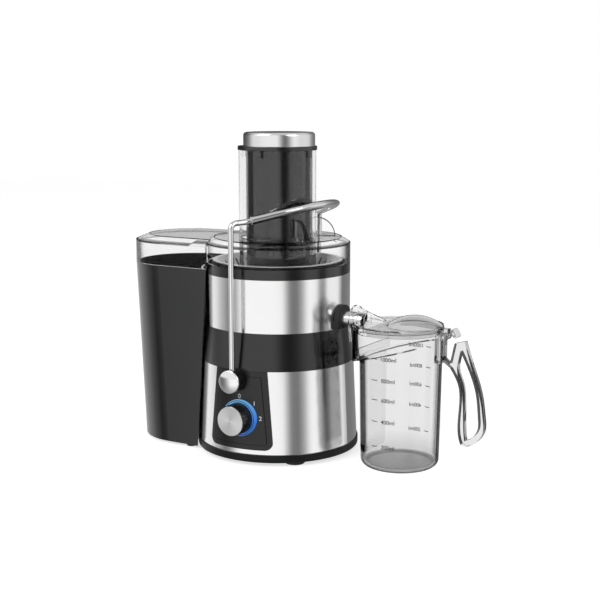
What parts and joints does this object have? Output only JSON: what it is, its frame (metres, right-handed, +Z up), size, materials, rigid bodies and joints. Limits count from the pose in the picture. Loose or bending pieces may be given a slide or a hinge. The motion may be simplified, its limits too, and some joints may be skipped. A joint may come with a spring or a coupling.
{
  "type": "centrifugal juicer",
  "caption": "Centrifugal juicer in brushed steel and black plastic with clear cover, feed chute and pusher, wire locking arm, speed knob, pulp bin and lidded jug",
  "frame": {"origin": "on the motor axis, at the height of the surface the juicer stands on", "axes": "+X towards the spout and jug, -X towards the pulp bin, -Y towards the control panel and the user, +Z up"},
  "size_m": [0.4836, 0.2356, 0.3958],
  "materials": {
    "black_plastic": "satin moulded",
    "panel_plastic": "smooth, slightly glossy",
    "smoke_plastic": "dark smoke, glossy",
    "brushed_steel": "fine brushed lines around the body",
    "steel": "plain",
    "chrome": "polished",
    "clear_plastic": "clear moulded",
    "rubber": "matt",
    "light_blue": "lit from behind",
    "aluminium": "die cast",
    "copper": "copper",
    "white_plastic": "moulded",
    "carbon": "pressed carbon",
    "circuit_board": "coated board"
  },
  "bodies": {
    "base": {"base_pan": "black_plastic", "rubber_feet": "rubber", "pan_screws": "steel", "lower_housing": "black_plastic", "lower_skin": "brushed_steel", "control_panel": "panel_plastic", "light_ring": "light_blue", "rotary_switch": "black_plastic", "control_board": "circuit_board", "interlock_switch": "black_plastic", "cord_gland": "black_plastic", "waist_housing": "black_plastic", "motor_upper_bracket": "aluminium", "motor_lower_bracket": "aluminium", "motor_stator": "steel", "field_windings": "copper", "upper_bearing": "steel", "lower_bearing": "steel", "brush_holders": "black_plastic", "carbon_brushes": "carbon", "motor_dampers": "rubber", "motor_screws": "steel", "shaft_seal": "rubber", "juice_bowl": "black_plastic", "upper_skin": "brushed_steel", "spout_gasket": "rubber", "spout_tube": "steel", "clear_cover": "clear_plastic"},
    "spindle": {"motor_shaft": "steel", "armature_core": "steel", "commutator": "copper", "cooling_fan": "black_plastic", "drive_coupling": "white_plastic", "basket_hub": "white_plastic", "filter_basket": "steel", "grating_disc": "steel"},
    "pusher": {"pusher_body": "smoke_plastic", "pusher_flange": "smoke_plastic", "pusher_cap": "brushed_steel"},
    "locking_arm": {"arm_wire": "chrome", "arm_grip": "chrome", "pivot_pins": "steel", "pivot_hub_front": "black_plastic", "pivot_hub_rear": "black_plastic", "pivot_caps": "chrome"},
    "speed_knob": {"knob_body": "black_plastic", "knob_face": "brushed_steel", "switch_shaft": "steel"},
    "pulp_bin": {"bin_shell": "black_plastic", "bin_feet": "rubber"},
    "jug": {"jug_body": "clear_plastic", "froth_separator": "clear_plastic", "handle_bracket": "clear_plastic", "jug_handle": "clear_plastic", "jug_hinge_pin": "steel"},
    "lid": {"jug_lid": "clear_plastic"}
  },
  "joints": [
    {"name": "spindle_spin", "type": "hinge", "parent": "base", "child": "spindle", "pos_m": [0, 0, 0.1], "axis": [0, 0, 1], "continuous": true},
    {"name": "pusher_slide", "type": "slide", "parent": "base", "child": "pusher", "axis": [0, 0, 1], "range_m": [0, 0.15]},
    {"name": "arm_swing", "type": "hinge", "parent": "base", "child": "locking_arm", "pos_m": [0, 0, 0.1035], "axis": [0, 1, 0], "range_deg": [0, 42]},
    {"name": "knob_turn", "type": "hinge", "parent": "base", "child": "speed_knob", "pos_m": [0.0062, -0.11, 0.058], "axis": [0, 1, 0], "range_deg": [0, 90]},
    {"name": "bin_slide", "type": "slide", "parent": "base", "child": "pulp_bin", "axis": [-1, 0, 0], "range_m": [0, 0.16]},
    {"name": "jug_slide", "type": "slide", "parent": "base", "child": "jug", "axis": [1, 0, 0], "range_m": [0, 0.15]},
    {"name": "lid_hinge", "type": "hinge", "parent": "jug", "child": "lid", "pos_m": [0.229, 0, 0.1625], "axis": [0, 1, 0], "range_deg": [0, 20]}
  ]
}
